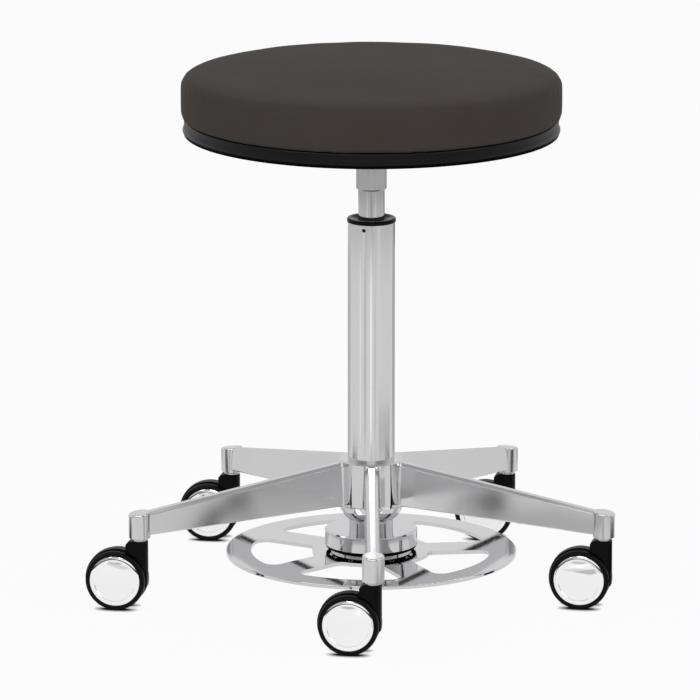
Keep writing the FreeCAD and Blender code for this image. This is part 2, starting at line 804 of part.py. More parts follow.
def build_stem():
    flange_bottom = socket_bottom - stem_flange
    stem = cylinder(stem_radius, socket_bottom, socket_bottom + stem_length)
    stem = stem.fuse(cylinder(stem_flange_radius, flange_bottom, socket_bottom))
    spindle_end = flange_bottom - spindle_length + overcut
    stem = stem.fuse(cylinder(spindle_radius, spindle_end, flange_bottom)).removeSplitter()
    groove_low = socket_bottom + (stem_length - grip_ring_height) / 2
    groove_high = groove_low + grip_ring_height
    core = stem_radius - grip_ring_wall
    stem = stem.cut(ring(core, stem_radius + overcut, groove_low, groove_high))
    grip = ring(core + press_gap, stem_radius, groove_low + press_gap, groove_high - press_gap)
    slit = Part.makeBox(stem_radius + overcut, core / 2, grip_ring_height, Vector(0, -core / 4, groove_low))
    return stem, grip.cut(slit)


def build_castors():
    stem, grip = build_stem()
    wheel = build_wheel()
    cap = build_cap()
    reach = web_half + wheel_side_gap + wheel_width - wheel_lip
    axle_start = Vector(-castor_trail, -reach, axle_level)
    moving = {
        "hood": build_hood(),
        "axle": Part.makeCylinder(axle_radius, 2 * reach, axle_start, Y),
        "wheel_a": mirrored(wheel),
        "wheel_b": wheel,
        "cap_a": mirrored(cap),
        "cap_b": cap,
    }
    stems = []
    grips = []
    for name, angle in arm_angles.items():
        place = polar(arm_reach, angle)
        for source, kept in ((stem, stems), (grip, grips)):
            copy = source.copy()
            copy.translate(place)
            kept.append(copy)
        for piece, source in moving.items():
            copy = source.copy()
            copy.rotate(ORIGIN, Z, -castor_headings[name])
            copy.translate(place)
            save(name + "_castor_" + piece, copy)
    save("castor_stems", Part.makeCompound(stems))
    save("castor_grip_rings", Part.makeCompound(grips))


os.makedirs("parts", exist_ok=True)
build_seat()
build_gas_spring()
build_bearing()
build_column()
build_base()
build_collar()
build_foot_ring()
build_castors()
print("seat height", round(cushion_base + cushion_height, 1))
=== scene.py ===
import json
import math

import bmesh
import bpy
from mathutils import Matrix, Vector


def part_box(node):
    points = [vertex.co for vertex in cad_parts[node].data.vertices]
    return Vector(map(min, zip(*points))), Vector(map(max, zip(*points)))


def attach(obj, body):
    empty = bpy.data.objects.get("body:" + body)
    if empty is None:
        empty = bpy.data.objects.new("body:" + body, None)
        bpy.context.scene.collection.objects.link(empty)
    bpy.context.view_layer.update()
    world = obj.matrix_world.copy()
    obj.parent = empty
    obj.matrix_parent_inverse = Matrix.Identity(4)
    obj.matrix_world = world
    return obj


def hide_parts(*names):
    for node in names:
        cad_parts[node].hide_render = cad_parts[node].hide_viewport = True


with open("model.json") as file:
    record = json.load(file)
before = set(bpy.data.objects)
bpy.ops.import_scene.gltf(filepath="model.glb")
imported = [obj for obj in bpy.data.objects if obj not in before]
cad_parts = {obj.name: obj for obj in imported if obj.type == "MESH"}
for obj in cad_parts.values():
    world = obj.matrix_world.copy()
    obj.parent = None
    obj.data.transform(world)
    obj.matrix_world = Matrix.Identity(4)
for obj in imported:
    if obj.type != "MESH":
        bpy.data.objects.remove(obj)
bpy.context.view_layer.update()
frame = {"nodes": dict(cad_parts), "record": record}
scene = bpy.context.scene
nodes = frame["nodes"]
print("frame loaded:", len(nodes), "nodes")


def colour(hexValue):  # sRGB hex to the linear values that sockets take
    channels = [int(hexValue[start:start + 2], 16) / 255 for start in (0, 2, 4)]
    linear = [c / 12.92 if c <= 0.04045 else ((c + 0.055) / 1.055) ** 2.4 for c in channels]
    return (*linear, 1.0)


def perMetre(millimetres):  # texture scale for a feature of that size
    return 1000 / millimetres


def addNode(tree, kind, values=None, links=None, **settings):
    node = tree.nodes.new(kind)
    for name, value in settings.items():
        setattr(node, name, value)
    for socket, value in (values or {}).items():
        node.inputs[socket].default_value = value
    for socket, source in (links or {}).items():
        tree.links.new(source, node.inputs[socket])
    return node


def newMaterial(name, values):
    material = bpy.data.materials.new(name)
    material.use_nodes = True
    tree = material.node_tree
    shader = tree.nodes["Principled BSDF"]
    for socket, value in values.items():
        shader.inputs[socket].default_value = value
    place = addNode(tree, "ShaderNodeTexCoord").outputs["Object"]
    return material, tree, shader, place


def dressShader(tree, shader, look, tone, grain):
    # Tone moves the colour between two hex values, and grain gives a bump of a real height. Where the look
    # has a range of roughness, grain moves that too
    first, second = look["tones"]
    tint = addNode(tree, "ShaderNodeMix", {6: colour(first), 7: colour(second)}, {0: tone}, data_type="RGBA")
    tree.links.new(tint.outputs[2], shader.inputs["Base Color"])
    if "roughness" in look:
        low, high = look["roughness"]
        rough = addNode(tree, "ShaderNodeMapRange", {"To Min": low, "To Max": high}, {"Value": grain})
        tree.links.new(rough.outputs["Result"], shader.inputs["Roughness"])
    bump = addNode(tree, "ShaderNodeBump", {"Strength": look["relief"], "Distance": look["depthMm"] / 1000},
                   {"Height": grain})
    tree.links.new(bump.outputs["Normal"], shader.inputs["Normal"])


def syntheticLeather():
    # Polyurethane skin on a knitted back, embossed: matt dark grey-brown with a fine pebble grain.
    # Real pebbles are too fine to show, so they are drawn coarser
    look = {"tones": ("474442", "453b36"), "roughness": (0.6, 0.72), "cloudMm": 120, "cloudDetail": 4.0,
            "grainMm": 1.6, "depthMm": 0.12, "relief": 0.35, "ior": 1.5, "gloss": 0.06}
    values = {"IOR": look["ior"], "Specular IOR Level": look["gloss"]}
    material, tree, shader, place = newMaterial("syntheticLeather", values)
    cloud = addNode(tree, "ShaderNodeTexNoise",
                    {"Scale": perMetre(look["cloudMm"]), "Detail": look["cloudDetail"]}, {"Vector": place})
    grain = addNode(tree, "ShaderNodeTexVoronoi", {"Scale": perMetre(look["grainMm"])}, {"Vector": place})
    dressShader(tree, shader, look, cloud.outputs["Fac"], grain.outputs["Distance"])
    return material


def mouldedPlastic(name, finish):
    # Plastic, rubber or paint: even colour, soft highlights, and a texture drawn coarse enough to show
    look = {"ior": 1.49, "detail": 2.0, "relief": 0.3, **finish}
    values = {"IOR": look["ior"], "Specular IOR Level": look["gloss"]}
    material, tree, shader, place = newMaterial(name, values)
    grain = addNode(tree, "ShaderNodeTexNoise",
                    {"Scale": perMetre(look["grainMm"]), "Detail": look["detail"]}, {"Vector": place})
    dressShader(tree, shader, look, grain.outputs["Fac"], grain.outputs["Fac"])
    return material


def bareMetal(name, finish):
    # Metal with polishing or grinding marks: streaks as long each way as streakMm says
    look = {"streakDetail": 3.0, "cloudDetail": 2.0, "relief": 0.2, **finish}
    material, tree, shader, place = newMaterial(name, {"Metallic": 1.0})
    stretch = addNode(tree, "ShaderNodeMapping", {"Scale": [perMetre(size) for size in look["streakMm"]]},
                      {"Vector": place})
    streak = addNode(tree, "ShaderNodeTexNoise", {"Scale": 1.0, "Detail": look["streakDetail"]},
                     {"Vector": stretch.outputs[0]})
    cloud = addNode(tree, "ShaderNodeTexNoise",
                    {"Scale": perMetre(look["cloudMm"]), "Detail": look["cloudDetail"]}, {"Vector": place})
    dressShader(tree, shader, look, cloud.outputs["Fac"], streak.outputs["Fac"])
    return material


def polishedAluminium():
    # Aluminium casting: hub and collar buffed on a lathe to a mirror, arms linished and so less sharp
    look = {"tones": ("d0d0d1", "d6d6d7"), "roughness": (0.14, 0.2), "streakMm": (2, 2, 2), "cloudMm": 45,
            "depthMm": 0.004, "turned": 0.06, "turnedMm": 47, "blendMm": 6}
    material = bareMetal("polishedAluminiumCasting", look)
    tree = material.node_tree
    shader = tree.nodes["Principled BSDF"]
    linished = shader.inputs["Roughness"].links[0].from_socket
    place = addNode(tree, "ShaderNodeTexCoord").outputs["Object"]
    level = addNode(tree, "ShaderNodeVectorMath", {1: (1, 1, 0)}, {0: place}, operation="MULTIPLY")
    reach = addNode(tree, "ShaderNodeVectorMath", {}, {0: level.outputs[0]}, operation="LENGTH")
    edges = [look["turnedMm"] / 1000, (look["turnedMm"] + look["blendMm"]) / 1000]
    arms = addNode(tree, "ShaderNodeMapRange", {"From Min": edges[0], "From Max": edges[1]},
                   {"Value": reach.outputs["Value"]})
    mix = addNode(tree, "ShaderNodeMix", {2: look["turned"]}, {0: arms.outputs[0], 3: linished})
    tree.links.new(mix.outputs[0], shader.inputs["Roughness"])
    return material


def stainedPlywood():
    # Rotary-cut birch veneer stained black: the flame figure only just shows, no gloss
    look = {"tones": ("2b2724", "1a1816"), "roughness": (0.55, 0.7), "bandMm": 26, "bandsPerMetre": 6.3,
            "distortion": 7.0, "fineScale": 0.6, "detail": 2.0, "swirlMm": 140, "poreMm": (0.8, 24, 0.8),
            "depthMm": 0.08, "relief": 0.3, "gloss": 0.25}
    material, tree, shader, place = newMaterial("stainedBirchPlywood", {"Specular IOR Level": look["gloss"]})
    swirl = addNode(tree, "ShaderNodeTexNoise",
                    {"Scale": perMetre(look["swirlMm"]), "Detail": look["detail"]}, {"Vector": place})
    # bandsPerMetre is about what a wave texture of scale 1 shows, light and dark ones counted
    bandScale = perMetre(look["bandMm"]) / look["bandsPerMetre"]
    figure = addNode(tree, "ShaderNodeTexWave",
                     {"Scale": bandScale, "Distortion": look["distortion"], "Detail": look["detail"],
                      "Detail Scale": look["fineScale"]}, {"Vector": place})
    pores = addNode(tree, "ShaderNodeMapping", {"Scale": [perMetre(size) for size in look["poreMm"]]},
                    {"Vector": place})
    pore = addNode(tree, "ShaderNodeTexNoise", {"Scale": 1.0, "Detail": look["detail"]},
                   {"Vector": pores.outputs[0]})
    blend = addNode(tree, "ShaderNodeMath", {}, {0: figure.outputs["Fac"], 1: swirl.outputs["Fac"]},
                    operation="MULTIPLY")
    dressShader(tree, shader, look, blend.outputs[0], pore.outputs["Fac"])
    return material


def openCellFoam():
    # Cut polyurethane foam: cream, open cells about a millimetre across
    look = {"tones": ("b9ad84", "e8dfbb"), "evenRoughness": 0.9, "cellMm": 1.2, "depthMm": 0.5, "relief": 0.5}
    material, tree, shader, place = newMaterial("openCellFoam", {"Roughness": look["evenRoughness"]})
    cells = addNode(tree, "ShaderNodeTexVoronoi", {"Scale": perMetre(look["cellMm"])}, {"Vector": place})
    dressShader(tree, shader, look, cells.outputs["Distance"], cells.outputs["Distance"])
    return material


leather = syntheticLeather()
# ABS from a satin mould: even black with a soft, wide highlight
edgePlastic = mouldedPlastic("satinAbs", {
    "tones": ("0c0c0c", "111111"), "roughness": (0.28, 0.38), "grainMm": 0.9, "depthMm": 0.02, "gloss": 0.2})
# acetal turned on a lathe: deep black, nearly polished
acetal = mouldedPlastic("turnedAcetal", {
    "tones": ("040404", "070707"), "roughness": (0.12, 0.2), "grainMm": 1.5, "depthMm": 0.01, "gloss": 0.1})
# polyamide from a textured mould: black with a dull sheen
castorNylon = mouldedPlastic("mouldedPolyamide", {
    "tones": ("030303", "060606"), "roughness": (0.28, 0.4), "grainMm": 1.2, "depthMm": 0.02, "gloss": 0.1})
# polyurethane cast round the wheel: black, duller than the hood above it
treadPolyurethane = mouldedPlastic("castPolyurethane", {
    "tones": ("040404", "070707"), "roughness": (0.38, 0.5), "grainMm": 1.8, "depthMm": 0.03, "gloss": 0.12})
# moulded rubber: black and quite matt
blackRubber = mouldedPlastic("mouldedRubber", {
    "tones": ("040404", "070707"), "roughness": (0.6, 0.75), "grainMm": 0.8, "depthMm": 0.03, "gloss": 0.03})
# powder baked on steel: soft black with a fine orange peel
powderCoat = mouldedPlastic("powderCoat", {
    "tones": ("141414", "1a1a1a"), "roughness": (0.45, 0.6), "grainMm": 1.4, "depthMm": 0.06, "gloss": 0.3})
# chrome on a drawn tube: bright, with faint marks along its length
tubeChrome = bareMetal("chromePlatedTube", {
    "tones": ("d2d2d3", "d8d8d9"), "roughness": (0.1, 0.15), "streakMm": (3, 3, 60), "cloudMm": 60,
    "depthMm": 0.001})
# hard chrome ground in the round: bright, with fine rings about the rod
groundChrome = bareMetal("groundHardChrome", {
    "tones": ("cbcbcc", "d3d3d4"), "roughness": (0.06, 0.1), "streakMm": (40, 40, 0.9), "cloudMm": 30,
    "depthMm": 0.004})
# plastic cap metallised in a vacuum: nearly white, a clean mirror
capChrome = bareMetal("metallisedCap", {
    "tones": ("fafafa", "ffffff"), "roughness": (0.03, 0.06), "streakMm": (20, 20, 20), "cloudMm": 40,
    "depthMm": 0.001})
# zinc over turned steel: satin silver with turning rings
zincSleeve = bareMetal("satinZincPlate", {
    "tones": ("b8b8b7", "c4c4c3"), "roughness": (0.26, 0.38), "streakMm": (30, 30, 1.2), "cloudMm": 18,
    "depthMm": 0.008})
# bright zinc on small steel parts: pale blue-grey, slightly cloudy
brightZinc = bareMetal("brightZincPlate", {
    "tones": ("b4b6b8", "c4c5c6"), "roughness": (0.2, 0.32), "streakMm": (4, 4, 4), "cloudMm": 9,
    "depthMm": 0.006})
polishedCasting = polishedAluminium()
# aluminium plate buffed flat: a mirror, slightly grey
polishedPlate = bareMetal("mirrorAluminiumPlate", {
    "tones": ("d2d2d3", "d8d8d9"), "roughness": (0.04, 0.08), "streakMm": (4, 4, 4), "cloudMm": 60,
    "depthMm": 0.001})
plywood = stainedPlywood()
foam = openCellFoam()

finishBySlot = {
    "upholstery": leather, "foam": foam, "plywood": plywood, "black_trim": edgePlastic,
    "black_steel": powderCoat, "zinc_steel": zincSleeve, "steel": brightZinc,
    "cylinder_chrome": groundChrome, "tube_chrome": tubeChrome, "cap_chrome": capChrome,
    "polished_aluminium": polishedCasting, "polished_ring": polishedPlate, "bush_plastic": acetal,
    "rubber": blackRubber, "castor_plastic": castorNylon, "castor_tyre": treadPolyurethane,
}
for part in frame["record"]["subparts"]:
    mesh = nodes[part["node"]].data
    mesh.materials.clear()
    mesh.materials.append(finishBySlot[part["material_slot"]])
print("finishes set on", len(nodes), "nodes")


def newPiece(name, data):
    piece = bpy.data.objects.new(name, data)
    scene.collection.objects.link(piece)
    return piece


def plainMesh(piece):  # what the piece's modifiers make of it, as an ordinary mesh
    depsgraph = bpy.context.evaluated_depsgraph_get()
    mesh = bpy.data.meshes.new_from_object(piece.evaluated_get(depsgraph), depsgraph=depsgraph)
    piece.modifiers.clear()
    piece.data = mesh
    return mesh


def latheMesh(name, rings, openMiddle=False):
    # Faces between rings of (x, y, z) points. With an open middle the last ring meets the first, and
    # otherwise both ends are closed
    shape = bmesh.new()
    loops = [[shape.verts.new(point) for point in ring] for ring in rings]
    sides = len(loops[0])
    for lower, upper in zip(loops, loops[1:] + loops[:openMiddle]):
        for side in range(sides):
            following = (side + 1) % sides
            shape.faces.new((lower[side], lower[following], upper[following], upper[side]))
    if not openMiddle:
        shape.faces.new(list(reversed(loops[0])))
        shape.faces.new(loops[-1])
    bmesh.ops.recalc_face_normals(shape, faces=shape.faces[:])
    mesh = bpy.data.meshes.new(name)
    shape.to_mesh(mesh)
    shape.free()
    return mesh


def circlePoints(radius, z, sides):
    steps = [2 * math.pi * side / sides for side in range(sides)]
    return [(radius * math.cos(step), radius * math.sin(step), z) for step in steps]


def quarterTurns(steps):
    return [math.pi / 2 * step / steps for step in range(steps + 1)]


def cushionProfile(pad, radius, base, top):
    # Drawn-in side, rolled shoulder and crown, from the rim of the base up to the middle
    slope = math.radians(pad["crownSlope"])
    side = radius + pad["sideProud"]
    corner = pad["corner"]
    centreR = side - corner
    rimR = centreR + corner * math.sin(slope)
    crown = rimR / math.sin(slope)
    high = top - pad["topInset"]
    centreZ = high - crown * (1 - math.cos(slope)) - corner * math.cos(slope)
    points = []
    for step in range(pad["steps"]):
        share = step / pad["steps"]
        points.append((side - pad["drawIn"] * (1 - share) ** 2, base + pad["widestAbove"] * share))
    for step in range(pad["steps"] + 1):
        angle = math.pi / 2 + (slope - math.pi / 2) * step / pad["steps"]
        points.append((centreR + corner * math.sin(angle), centreZ + corner * math.cos(angle)))
    for step in range(1, 2 * pad["steps"]):
        angle = slope * (1 - step / (2 * pad["steps"]))
        points.append((crown * math.sin(angle), high - crown + crown * math.cos(angle)))
    return points


def evened(mesh, values):  # each value drawn halfway to the mean of its neighbours
    totals = [0.0] * len(values)
    counts = [0] * len(values)
    for edge in mesh.edges:
        for here, there in (edge.vertices, reversed(edge.vertices)):
            totals[here] += values[there]
            counts[here] += 1
    return [(value + total / max(count, 1)) / 2 for value, total, count in zip(values, totals, counts)]


def seatCushion():
    # Foam under a drawn leather cover: the cover is blown up by the cloth solver from a slightly flatter form
    pad = {"corner": 0.0115, "crownSlope": 2.7, "widestAbove": 0.013, "drawIn": 0.0014, "sideProud": 0.0004,
           "topInset": 0.0024, "steps": 10, "sides": 180, "voxel": 0.005, "pressure": 4.0, "frames": 20,
           "swell": 0.0024, "evenings": 10, "heldBelow": 0.003, "puckerHeight": 0.016, "puckerDepth": 0.0004,
           "puckerRise": 4, "puckers": (46, 71, 113)}
    low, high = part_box("upholstery_cover")
    radius = (high[0] - low[0]) / 2
    profile = cushionProfile(pad, radius, low[2], high[2])
    mesh = latheMesh("seatCushion", [circlePoints(r, z, pad["sides"]) for r, z in profile])
    cushion = newPiece("seatCushion", mesh)
    remesh = cushion.modifiers.new("evenSkin", "REMESH")
    remesh.mode = "VOXEL"
    remesh.voxel_size = pad["voxel"]
    skin = plainMesh(cushion)
    start = [vertex.co.copy() for vertex in skin.vertices]
    outward = [vertex.normal.copy() for vertex in skin.vertices]
    held = cushion.vertex_groups.new(name="stapledEdge")
    held.add([i for i, place in enumerate(start) if place.z < low[2] + pad["heldBelow"]], 1.0, "REPLACE")
    cloth = cushion.modifiers.new("cover", "CLOTH")
    cloth.settings.use_pressure = True
    cloth.settings.uniform_pressure_force = pad["pressure"]
    cloth.settings.vertex_group_mass = held.name
    cloth.settings.effector_weights.gravity = 0
    cloth.point_cache.frame_end = pad["frames"]
    for number in range(1, pad["frames"] + 1):
        scene.frame_set(number)
    skin = plainMesh(cushion)
    scene.frame_set(1)
    cushion.vertex_groups.clear()
    # the cover only lifts off the foam: moves along the skin, or further than the swell, are left out
    lift = [min(max((vertex.co - place).dot(normal), 0), pad["swell"])
            for place, normal, vertex in zip(start, outward, skin.vertices)]
    for passing in range(pad["evenings"]):
        lift = evened(skin, lift)
    for place, normal, vertex, rise in zip(start, outward, skin.vertices, lift):
        vertex.co = place + normal * rise
        above = (vertex.co.z - low[2]) / pad["puckerHeight"]
        if 0 < above < 1:
            turn = math.atan2(vertex.co.y, vertex.co.x)
            wave = sum(math.sin(count * turn + count) for count in pad["puckers"]) / len(pad["puckers"])
            fade = (1 - above) ** 2 * min(1, above * pad["puckerRise"])
            vertex.co.xy *= 1 + wave * fade * pad["puckerDepth"] / radius
    smooth = cushion.modifiers.new("smooth", "SUBSURF")
    smooth.levels = smooth.render_levels = 1
    skin = plainMesh(cushion)
    skin.shade_smooth()
    skin.materials.clear()
    skin.materials.append(leather)
    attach(cushion, "seat")
    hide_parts("upholstery_cover", "foam_pad")
    corners = [round(max(v.co[axis] for v in skin.vertices) * 1000, 1) for axis in range(3)]
    print("cushion lifted by", round(max(lift) * 1000, 1), "mm, reaches", corners)


def edgeTrim():
    # Plastic edging pushed on round the board: a band set back from a bevelled bead, over a matt black lip
    # that is partly a real softer lip and partly painted shade under the bead
    trim = {"wall": 0.008, "lip": 0.012, "lipThickness": 0.0052, "setBack": 0.0016, "topRound": 0.0016,
            "roundSteps": 3, "bead": 0.0026, "shadedLip": 0.0036, "shadedLipSetBack": 0.0014, "sides": 180,
            "creaseDegrees": 30, "hair": 1e-5}
    low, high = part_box("edge_trim")
    radius = (high[0] - low[0]) / 2
    top, bottom = high[2], low[2]
    band = radius - trim["setBack"]
    shadedLipTop = bottom + trim["shadedLip"]
    shadedLipRadius = radius - trim["shadedLipSetBack"]
    beadTop = shadedLipTop + trim["bead"]
    inner = radius - trim["wall"]
    lipEdge = inner - trim["lip"]
    lipTop = bottom + trim["lipThickness"]
    outline = [(inner, top)]
    for turn in quarterTurns(trim["roundSteps"]):
        outline.append((band - trim["topRound"] * (1 - math.sin(turn)),
                        top - trim["topRound"] * (1 - math.cos(turn))))
    outline += [(band, beadTop), (radius, beadTop - trim["setBack"]), (radius, shadedLipTop),
                (shadedLipRadius, shadedLipTop), (shadedLipRadius, bottom),
                (lipEdge, bottom), (lipEdge, lipTop), (inner, lipTop)]
    mesh = latheMesh("edgeTrim", [circlePoints(r, z, trim["sides"]) for r, z in outline], openMiddle=True)
    mesh.shade_smooth()
    mesh.set_sharp_from_angle(angle=math.radians(trim["creaseDegrees"]))
    mesh.materials.append(edgePlastic)
    mesh.materials.append(blackRubber)
    # the lip under the bead gets the matt black rubber: partly a real softer lip, partly painted shade under
    # the bead
    for face in mesh.polygons:
        face.material_index = int(face.center.z < shadedLipTop + trim["hair"])
    piece = newPiece("edgeTrim", mesh)
    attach(piece, "seat")
    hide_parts("edge_trim")
    print("edge trim of", len(mesh.polygons), "faces")


def ringPatternTree():
    # One source shape repeated round the column: sizes are inputs, turns scatter by a fixed seed
    inputKinds = {"Source": "NodeSocketGeometry", "Count": "NodeSocketInt", "Radius": "NodeSocketFloat",
                  "First": "NodeSocketFloat", "Scatter": "NodeSocketFloat", "Finish": "NodeSocketMaterial"}
    chances = {"Min": -0.5, "Max": 0.5, "Seed": 7}
    tree = bpy.data.node_groups.new("ringPattern", "GeometryNodeTree")
    for name, kind in inputKinds.items():
        tree.interface.new_socket(name, in_out="INPUT", socket_type=kind)
    tree.interface.new_socket("Pattern", in_out="OUTPUT", socket_type="NodeSocketGeometry")
    given = addNode(tree, "NodeGroupInput").outputs
    circle = addNode(tree, "GeometryNodeMeshCircle", {},
                     {"Vertices": given["Count"], "Radius": given["Radius"]})
    swing = addNode(tree, "ShaderNodeCombineXYZ", {}, {"Z": given["First"]})
    placed = addNode(tree, "GeometryNodeTransform", {},
                     {"Geometry": circle.outputs[0], "Rotation": swing.outputs[0]})
    spot = addNode(tree, "GeometryNodeInputPosition")
    split = addNode(tree, "ShaderNodeSeparateXYZ", {}, {0: spot.outputs[0]})
    heading = addNode(tree, "ShaderNodeMath", {}, {0: split.outputs["Y"], 1: split.outputs["X"]},
                      operation="ARCTAN2")
    chance = addNode(tree, "FunctionNodeRandomValue", chances, data_type="FLOAT")
    stray = addNode(tree, "ShaderNodeMath", {},
                    {0: chance.outputs["Value"], 1: given["Scatter"], 2: heading.outputs[0]},
                    operation="MULTIPLY_ADD")
    turn = addNode(tree, "ShaderNodeCombineXYZ", {}, {"Z": stray.outputs[0]})
    copies = addNode(tree, "GeometryNodeInstanceOnPoints", {},
                     {"Points": placed.outputs[0], "Instance": given["Source"], "Rotation": turn.outputs[0]})
    solid = addNode(tree, "GeometryNodeRealizeInstances", {}, {0: copies.outputs[0]})
    finished = addNode(tree, "GeometryNodeSetMaterial", {},
                       {"Geometry": solid.outputs[0], "Material": given["Finish"]})
    addNode(tree, "NodeGroupOutput", {}, {"Pattern": finished.outputs[0]})
    return tree


ringPattern = ringPatternTree()


def repeatRound(name, mesh, inputs):
    piece = newPiece(name, mesh)
    pattern = piece.modifiers.new("ringPattern", "NODES")
    pattern.node_group = ringPattern
    for item in ringPattern.interface.items_tree:
        if item.name in inputs:
            pattern[item.identifier] = inputs[item.name]
    result = plainMesh(piece)
    print(name, "made of", len(result.polygons), "faces")
    return piece


def socketScrew(name, screw, seat):
    # One screw on the column axis, head down, under the face at height seat, with a hexagon socket
    sides = 24
    edgeSteps = 4
    rimShare = 0.68  # of the width across flats: a circle just outside the socket's corners
    sixth = math.pi / 3
    face = seat - screw["head"]

    def hexagon(z):
        points = []
        for side in range(sides):
            angle = 2 * math.pi * side / sides
            fold = (angle + sixth / 2) % sixth - sixth / 2
            reach = screw["acrossFlats"] / 2 / math.cos(fold)
            points.append((reach * math.cos(angle), reach * math.sin(angle), z))
        return points

    rings = [hexagon(face + screw["socket"]), hexagon(face)]
    outline = [(screw["acrossFlats"] * rimShare, face)]
    for turn in quarterTurns(edgeSteps):
        outline.append((screw["headRadius"] - screw["edge"] * (1 - math.sin(turn)),
                        face + screw["edge"] * (1 - math.cos(turn))))
    outline += [(screw["headRadius"], seat), (screw["shank"], seat), (screw["shank"], seat + screw["length"])]
    if "thread" in screw:
        outline += [(screw["thread"], seat + screw["length"]), (screw["thread"], seat + screw["fullLength"])]
    return latheMesh(name, rings + [circlePoints(radius, z, sides) for radius, z in outline])


def seatScrews():
    screw = {"headRadius": 0.006, "head": 0.0036, "edge": 0.0022, "acrossFlats": 0.004, "socket": 0.0021,
             "shank": 0.003, "length": 0.012, "count": 4, "first": 45, "scatter": 2.0}
    low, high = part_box("seat_screws")
    holeOffset = high[0] - screw["headRadius"]
    mesh = socketScrew("seatScrews", screw, low[2] + screw["head"])
    piece = repeatRound("seatScrews", mesh, {
        "Count": screw["count"], "Radius": holeOffset * math.sqrt(2), "First": math.radians(screw["first"]),
        "Scatter": screw["scatter"], "Finish": brightZinc})
    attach(piece, "seat")
    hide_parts("seat_screws")


def hangerScrews():
    screw = {"headRadius": 0.006, "head": 0.004, "edge": 0.0006, "acrossFlats": 0.004, "socket": 0.0024,
             "shank": 0.003, "length": 0.01, "thread": 0.0025, "fullLength": 0.02, "circle": 0.036,
             "count": 5, "first": 18, "scatter": 2.0}
    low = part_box("shoulder_screws")[0]
    mesh = socketScrew("hangerScrews", screw, low[2] + screw["head"])
    piece = repeatRound("hangerScrews", mesh, {
        "Count": screw["count"], "Radius": screw["circle"], "First": math.radians(screw["first"]),
        "Scatter": screw["scatter"], "Finish": brightZinc})
    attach(piece, "base")
    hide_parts("shoulder_screws")


def weldBead():
    # Fillet weld between the seat plate and its socket: overlapping ripples, one for each dip of the filler
    bead = {"ripples": 56, "leg": 0.0026, "length": 0.0034, "overlap": 0.0008, "scatter": 0.15,
            "around": 12, "along": 8}
    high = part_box("seat_socket")[1]
    shape = bmesh.new()
    bmesh.ops.create_uvsphere(shape, u_segments=bead["around"], v_segments=bead["along"], radius=1.0)
    for vertex in shape.verts:
        x, y, z = vertex.co
        vertex.co = (x * bead["leg"], y * bead["length"], high[2] - bead["overlap"] + z * bead["leg"])
    mesh = bpy.data.meshes.new("weldBead")
    shape.to_mesh(mesh)
    shape.free()
    mesh.shade_smooth()
    piece = repeatRound("weldBead", mesh, {
        "Count": bead["ripples"], "Radius": high[0], "First": 0.0, "Scatter": bead["scatter"],
        "Finish": powderCoat})
    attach(piece, "seat")


seatCushion()
edgeTrim()
seatScrews()
hangerScrews()
weldBead()


def buildCamera():
    shot = {"place": (-0.0226, -6.5585, 1.7802), "tilt": 76.962, "lens": 326.24, "sensor": 36.0,
            "farthest": 60}
    camera = bpy.data.cameras.new("photoCamera")
    camera.lens = shot["lens"]
    camera.sensor_width = shot["sensor"]
    camera.clip_end = shot["farthest"]
    rig = newPiece("photoCamera", camera)
    rig.location = shot["place"]
    rig.rotation_euler = (math.radians(shot["tilt"]), 0, 0)
    scene.camera = rig


def rayWeight(tree, weights):  # the weight given to the kind of ray that looks, 0 for the other kinds
    path = addNode(tree, "ShaderNodeLightPath")
    total = None
    for output, weight in weights.items():
        scaled = addNode(tree, "ShaderNodeMath", {1: weight}, {0: path.outputs[output]}, operation="MULTIPLY")
        if total is None:
            total = scaled
        else:
            total = addNode(tree, "ShaderNodeMath", {}, {0: total.outputs[0], 1: scaled.outputs[0]},
                            operation="ADD")
    return total.outputs[0]


def buildFloor():
    ground = {"size": 36.0, "colour": "f2f2f2", "roughness": 0.8, "whiteShare": 0.93, "mirrorShare": 0.7,
              "paintedShadowReach": 0.009, "paintedShadowDark": 0.35, "paintedShadowClear": 0.9}
    bpy.ops.mesh.primitive_plane_add(size=ground["size"])
    floor = bpy.context.object
    floor.name = "studioFloor"
    values = {"Base Color": colour(ground["colour"]), "Roughness": ground["roughness"],
              "Specular IOR Level": 0.0}
    material, tree, shader = newMaterial("paleFloor", values)[:3]
    factor = rayWeight(tree, {"Is Camera Ray": ground["whiteShare"], "Is Glossy Ray": ground["mirrorShare"],
                              "Is Transmission Ray": ground["whiteShare"]})
    # painted contact shadow: the white floor is painted dark only where something almost touches it
    closeness = addNode(tree, "ShaderNodeAmbientOcclusion", {"Distance": ground["paintedShadowReach"]})
    paintedShadow = addNode(tree, "ShaderNodeMapRange",
                      {"From Min": ground["paintedShadowDark"], "From Max": ground["paintedShadowClear"]},
                      {"Value": closeness.outputs["AO"]})
    glow = addNode(tree, "ShaderNodeEmission", {}, {"Strength": paintedShadow.outputs["Result"]})
    mix = addNode(tree, "ShaderNodeMixShader", {}, {0: factor, 1: shader.outputs[0], 2: glow.outputs[0]})
    tree.links.new(mix.outputs[0], tree.nodes["Material Output"].inputs["Surface"])
    floor.data.materials.append(material)


